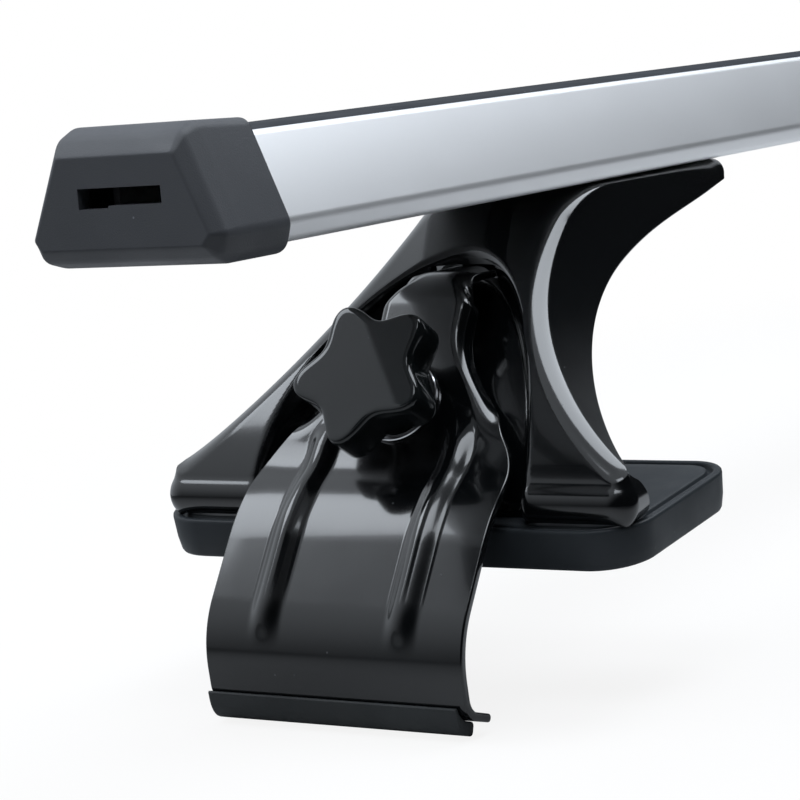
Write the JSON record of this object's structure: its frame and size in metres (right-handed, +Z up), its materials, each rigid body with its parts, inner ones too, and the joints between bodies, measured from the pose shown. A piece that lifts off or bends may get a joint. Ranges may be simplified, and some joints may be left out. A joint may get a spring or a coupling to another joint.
{
  "type": "roof rack crossbar",
  "caption": "Aluminium crossbar with rubber top strip and plastic end caps on pressed steel feet, with roof pads and hooks clamped by star knobs.",
  "frame": {"origin": "centre of the assembly on the ground plane under the hook sleeves", "axes": "+X along the bar, +Y fore and aft on the car, +Z up"},
  "size_m": [1.22, 0.171, 0.1803],
  "materials": {
    "anodised_aluminium": "satin anodised",
    "strip_rubber": "matte",
    "cap_plastic": "fine grain matte",
    "black_paint": "gloss black coating",
    "pad_rubber": "satin",
    "sleeve_rubber": "matte",
    "zinc_steel": "zinc plated",
    "bright_washer": "bright plated",
    "knob_plastic": "gloss moulded",
    "insert_brass": "turned"
  },
  "bodies": {
    "bar": {"bar_extrusion": "anodised_aluminium", "top_strip": "strip_rubber", "end_cap_left": "cap_plastic", "end_cap_right": "cap_plastic"},
    "foot_left": {"foot_bracket_left": "black_paint", "roof_pad_left": "pad_rubber", "clamp_stud_left": "zinc_steel", "stud_lock_nut_left": "zinc_steel", "track_bolt_outer_left": "zinc_steel", "track_bolt_inner_left": "zinc_steel", "track_washer_outer_left": "zinc_steel", "track_washer_inner_left": "zinc_steel", "track_nut_outer_left": "zinc_steel", "track_nut_inner_left": "zinc_steel"},
    "hook_left": {"clamp_hook_left": "black_paint", "hook_sleeve_left": "sleeve_rubber"},
    "washer_left": {"clamp_washer_left": "bright_washer"},
    "knob_left": {"clamp_knob_left": "knob_plastic", "knob_insert_left": "insert_brass"},
    "foot_right": {"foot_bracket_right": "black_paint", "roof_pad_right": "pad_rubber", "clamp_stud_right": "zinc_steel", "stud_lock_nut_right": "zinc_steel", "track_bolt_outer_right": "zinc_steel", "track_bolt_inner_right": "zinc_steel", "track_washer_outer_right": "zinc_steel", "track_washer_inner_right": "zinc_steel", "track_nut_outer_right": "zinc_steel", "track_nut_inner_right": "zinc_steel"},
    "hook_right": {"clamp_hook_right": "black_paint", "hook_sleeve_right": "sleeve_rubber"},
    "washer_right": {"clamp_washer_right": "bright_washer"},
    "knob_right": {"clamp_knob_right": "knob_plastic", "knob_insert_right": "insert_brass"}
  },
  "joints": [
    {"name": "foot_slide_left", "type": "slide", "parent": "bar", "child": "foot_left", "axis": [1, 0, 0], "range_m": [-0.04, 0.12]},
    {"name": "hook_swing_left", "type": "hinge", "parent": "foot_left", "child": "hook_left", "pos_m": [-0.439, 0, 0.12291], "axis": [0, 1, 0], "range_deg": [0, 9.2]},
    {"name": "washer_slide_left", "type": "slide", "parent": "foot_left", "child": "washer_left", "axis": [-0.848, 0, 0.5299], "range_m": [0, 0.012]},
    {"name": "knob_turn_left", "type": "hinge", "parent": "washer_left", "child": "knob_left", "pos_m": [-0.48464, 0, 0.08861], "axis": [-0.848, 0, 0.5299], "range_deg": [0, 3420]},
    {"name": "foot_slide_right", "type": "slide", "parent": "bar", "child": "foot_right", "axis": [-1, 0, 0], "range_m": [-0.04, 0.12]},
    {"name": "hook_swing_right", "type": "hinge", "parent": "foot_right", "child": "hook_right", "pos_m": [0.439, 0, 0.12291], "axis": [0, -1, 0], "range_deg": [0, 9.2]},
    {"name": "washer_slide_right", "type": "slide", "parent": "foot_right", "child": "washer_right", "axis": [0.848, 0, 0.5299], "range_m": [0, 0.012]},
    {"name": "knob_turn_right", "type": "hinge", "parent": "washer_right", "child": "knob_right", "pos_m": [0.48464, 0, 0.08861], "axis": [0.848, 0, 0.5299], "range_deg": [0, 3420]}
  ],
  "couplings": [
    {"joint": "knob_turn_left", "follows": "hook_swing_left", "ratio": 370.37},
    {"joint": "washer_slide_left", "follows": "hook_swing_left", "m_per_rad": 0.0737},
    {"joint": "knob_turn_right", "follows": "hook_swing_right", "ratio": 370.37},
    {"joint": "washer_slide_right", "follows": "hook_swing_right", "m_per_rad": 0.0737}
  ]
}
